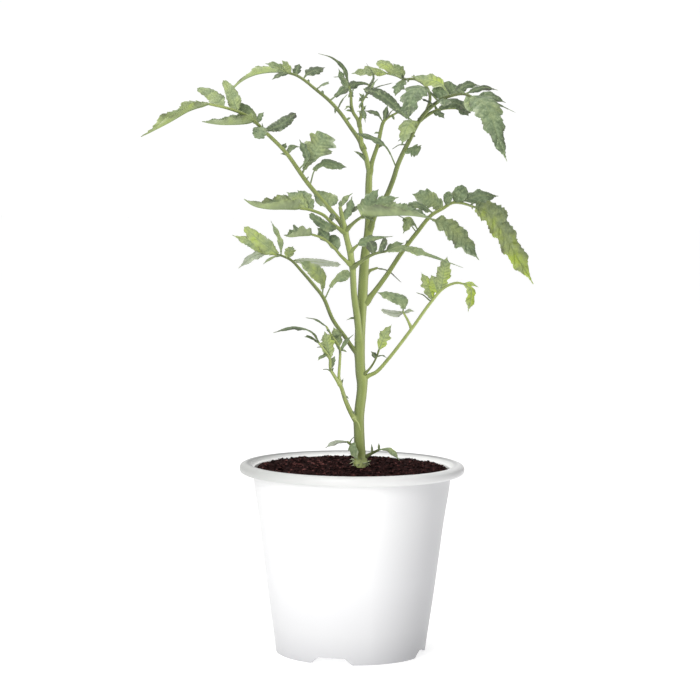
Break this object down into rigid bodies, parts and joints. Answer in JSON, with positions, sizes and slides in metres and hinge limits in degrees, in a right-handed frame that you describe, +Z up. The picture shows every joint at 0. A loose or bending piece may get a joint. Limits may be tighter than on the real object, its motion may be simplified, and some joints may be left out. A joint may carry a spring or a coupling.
{
  "type": "tomato plant in a nursery pot",
  "caption": "Young tomato plant with arching compound leaves and side shoots, standing in a soil-filled white nursery pot with a rolled rim.",
  "frame": {"origin": "on the pot's axis in the plane that its foot stands on, which is the centre of the object's footprint box", "axes": "+Z up along the pot's axis and the stem, +X to the right and +Y away from the viewer of the picture"},
  "size_m": [0.1985, 0.1787, 0.3036],
  "materials": {
    "pot_plastic": "satin moulded white plastic, slightly shiny on the rim",
    "soil": null,
    "stem": null,
    "leaf": "matt grey-green leaf, veined and softly hairy, paler below",
    "young_leaf": "matt yellow-green young leaf and shoot"
  },
  "bodies": {
    "root": {"pot": "pot_plastic", "soil": "soil", "main_stem": "stem", "side_shoot": "stem", "low_shoot": "young_leaf", "leaf_upper_left": "leaf", "leaf_upper_right": "leaf", "leaf_middle_right": "leaf", "leaf_lower_left": "leaf", "leaf_lower_right": "leaf", "leaf_top_left": "leaf", "growing_tip": "young_leaf", "top_right_shoot": "young_leaf", "leaf_small_back": "leaf", "base_leaf_left": "young_leaf", "base_leaf_right": "young_leaf", "axil_shoot": "young_leaf", "shoot_leaf_right": "leaf", "shoot_leaf_small": "young_leaf", "shoot_leaf_front": "leaf", "shoot_leaf_left": "leaf", "shoot_leaf_low_left": "leaf"}
  },
  "joints": []
}
